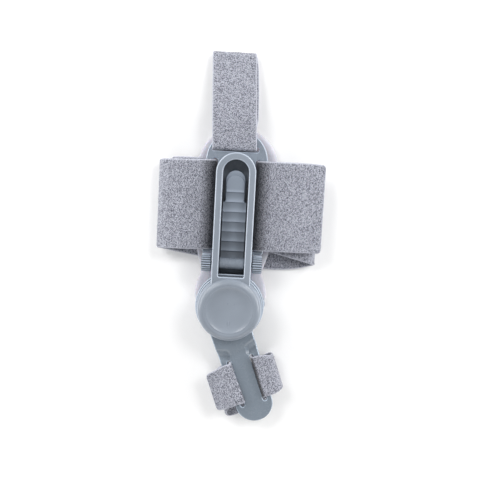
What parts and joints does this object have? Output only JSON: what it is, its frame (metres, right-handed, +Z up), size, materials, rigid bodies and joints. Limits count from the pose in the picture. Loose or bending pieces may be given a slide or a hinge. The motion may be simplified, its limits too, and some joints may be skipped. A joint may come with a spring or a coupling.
{
  "type": "bunion corrector",
  "caption": "Bunion corrector splint lying on its back: soft pad, grey plastic frame with a thumb roller and toothed tongue, swinging toe arm and looped fabric straps for foot, heel and toe.",
  "frame": {"origin": "on the surface it lies on, under the middle of the foot strap's slots", "axes": "+X across the frame to the foot strap's free end, +Y along the frame towards the heel strap, +Z up from the pad towards the cap"},
  "size_m": [0.0943, 0.2135, 0.0225],
  "materials": {
    "soft_pad": "matt, very soft",
    "frame_plastic": "satin moulded",
    "cap_plastic": "satin moulded",
    "arm_plastic": "satin moulded",
    "loop_fabric": "brushed loop pile"
  },
  "bodies": {
    "frame": {"pad": "soft_pad", "base_frame": "frame_plastic", "bridge_cap": "cap_plastic", "foot_strap": "loop_fabric", "heel_strap": "loop_fabric"},
    "toe": {"toe_arm": "arm_plastic", "toe_strap": "loop_fabric"},
    "roller": {"thumb_roller": "frame_plastic"},
    "ladder": {"ladder_tongue": "frame_plastic"}
  },
  "joints": [
    {"name": "toe_swing", "type": "hinge", "parent": "frame", "child": "toe", "pos_m": [0, -0.0587, 0.0119], "axis": [0, 0, 1], "range_deg": [-50, 10]},
    {"name": "roller_turn", "type": "hinge", "parent": "frame", "child": "roller", "pos_m": [0, -0.0329, 0.0151], "axis": [1, 0, 0], "range_deg": [0, 104.5]},
    {"name": "ladder_slide", "type": "slide", "parent": "frame", "child": "ladder", "axis": [0, 0.9962, 0.0873], "range_m": [0, 0.006]}
  ],
  "couplings": [
    {"joint": "roller_turn", "follows": "ladder_slide", "rad_per_m": 302.5}
  ]
}
